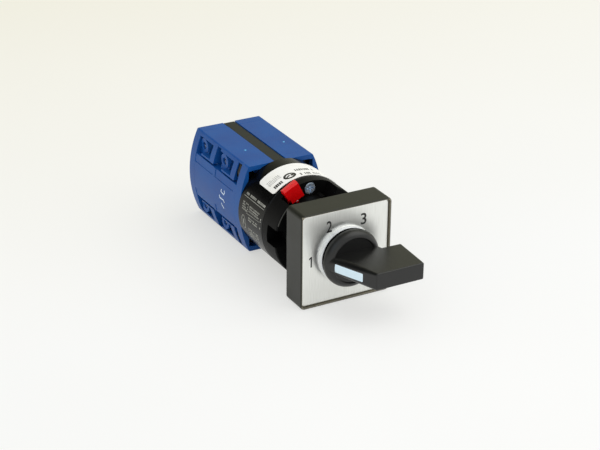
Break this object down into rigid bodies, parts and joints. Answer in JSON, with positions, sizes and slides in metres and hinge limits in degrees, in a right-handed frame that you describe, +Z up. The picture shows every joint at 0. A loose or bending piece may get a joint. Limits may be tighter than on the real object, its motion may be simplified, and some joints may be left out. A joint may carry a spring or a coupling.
{
  "type": "cam switch",
  "caption": "Panel-mounted cam switch: a pointer handle on a square numbered dial turns a shaft through a clamped neck and works the contact stages behind it.",
  "frame": {"origin": "middle of the back face of the square bezel, where it meets the panel, on the shaft axis", "axes": "+Y runs back along the shaft into the cabinet, the dial faces -Y, +Z is up on the dial, +X is to the right seen from the front"},
  "size_m": [0.03, 0.096, 0.031],
  "materials": {
    "bezel_plastic": "satin moulded, dark olive black",
    "handle_plastic": "satin moulded black",
    "dial_aluminium": "brushed, clear anodised",
    "pointer_plastic": "pale moulded inlay",
    "housing_plastic": "glossy moulded black",
    "label_film": "satin film",
    "red_plastic": "glossy moulded",
    "gasket_rubber": "matt",
    "zinc_steel": "bright zinc plated",
    "shaft_steel": "drawn square bar",
    "spring_steel": "drawn wire and strip",
    "cam_nylon": "natural moulded",
    "blue_plastic": "satin moulded blue",
    "strap_plastic": "satin moulded, dark olive black",
    "contact_brass": "stamped"
  },
  "bodies": {
    "casing": {"adapter_ring": "housing_plastic", "bezel_frame": "bezel_plastic", "clamp_screw_bottom": "zinc_steel", "clamp_screw_top": "zinc_steel", "contact_spring_1_left": "spring_steel", "contact_spring_1_right": "spring_steel", "contact_spring_2_left": "spring_steel", "contact_spring_2_right": "spring_steel", "detent_spring_left": "spring_steel", "detent_spring_right": "spring_steel", "dial_plate": "dial_aluminium", "front_plate": "blue_plastic", "latch_spring": "spring_steel", "latching_housing": "housing_plastic", "panel_gasket": "gasket_rubber", "rating_label": "label_film", "rear_cap": "blue_plastic", "stage_housing_1": "blue_plastic", "stage_housing_2": "blue_plastic", "strap_bottom": "strap_plastic", "strap_top": "strap_plastic", "terminal_1_left_lower": "contact_brass", "terminal_1_left_upper": "contact_brass", "terminal_1_right_lower": "contact_brass", "terminal_1_right_upper": "contact_brass", "terminal_2_left_lower": "contact_brass", "terminal_2_left_upper": "contact_brass", "terminal_2_right_lower": "contact_brass", "terminal_2_right_upper": "contact_brass", "terminal_screw_1_left_lower": "zinc_steel", "terminal_screw_1_left_upper": "zinc_steel", "terminal_screw_1_right_lower": "zinc_steel", "terminal_screw_1_right_upper": "zinc_steel", "terminal_screw_2_left_lower": "zinc_steel", "terminal_screw_2_left_upper": "zinc_steel", "terminal_screw_2_right_lower": "zinc_steel", "terminal_screw_2_right_upper": "zinc_steel"},
    "rotor": {"handle": "handle_plastic", "pointer_insert": "pointer_plastic", "shaft": "shaft_steel", "star_wheel": "cam_nylon", "cam_1": "cam_nylon", "cam_2": "cam_nylon"},
    "latch": {"release_latch": "red_plastic"},
    "carrier_1_left": {"plunger_1_left": "cam_nylon", "contact_bridge_1_left": "contact_brass"},
    "carrier_1_right": {"plunger_1_right": "cam_nylon", "contact_bridge_1_right": "contact_brass"},
    "carrier_2_left": {"plunger_2_left": "cam_nylon", "contact_bridge_2_left": "contact_brass"},
    "carrier_2_right": {"plunger_2_right": "cam_nylon", "contact_bridge_2_right": "contact_brass"}
  },
  "joints": [
    {"name": "handle_turn", "type": "hinge", "parent": "casing", "child": "rotor", "pos_m": [0, 0, 0], "axis": [0, 1, 0], "range_deg": [0, 120], "deforming": ["detent_spring_left", "detent_spring_right"]},
    {"name": "latch_press", "type": "slide", "parent": "casing", "child": "latch", "axis": [-0.454, 0, 0.891], "range_m": [-0.0012, 0], "stiffness_N_per_m": 200, "springref_m": 0.001, "deforming": ["latch_spring"]},
    {"name": "carrier_1_left_slide", "type": "slide", "parent": "casing", "child": "carrier_1_left", "axis": [-1, 0, 0], "range_m": [0, 0.0012], "deforming": ["contact_spring_1_left"]},
    {"name": "carrier_1_right_slide", "type": "slide", "parent": "casing", "child": "carrier_1_right", "axis": [1, 0, 0], "range_m": [-0.0012, 0], "deforming": ["contact_spring_1_right"]},
    {"name": "carrier_2_left_slide", "type": "slide", "parent": "casing", "child": "carrier_2_left", "axis": [-1, 0, 0], "range_m": [-0.0012, 0], "deforming": ["contact_spring_2_left"]},
    {"name": "carrier_2_right_slide", "type": "slide", "parent": "casing", "child": "carrier_2_right", "axis": [1, 0, 0], "range_m": [0, 0.0012], "deforming": ["contact_spring_2_right"]}
  ],
  "couplings": [
    {"joint": "carrier_1_left_slide", "follows": "handle_turn", "m_per_rad": 0.0005729},
    {"joint": "carrier_1_right_slide", "follows": "handle_turn", "m_per_rad": -0.0005729},
    {"joint": "carrier_2_left_slide", "follows": "handle_turn", "m_per_rad": -0.0005729},
    {"joint": "carrier_2_right_slide", "follows": "handle_turn", "m_per_rad": 0.0005729}
  ]
}
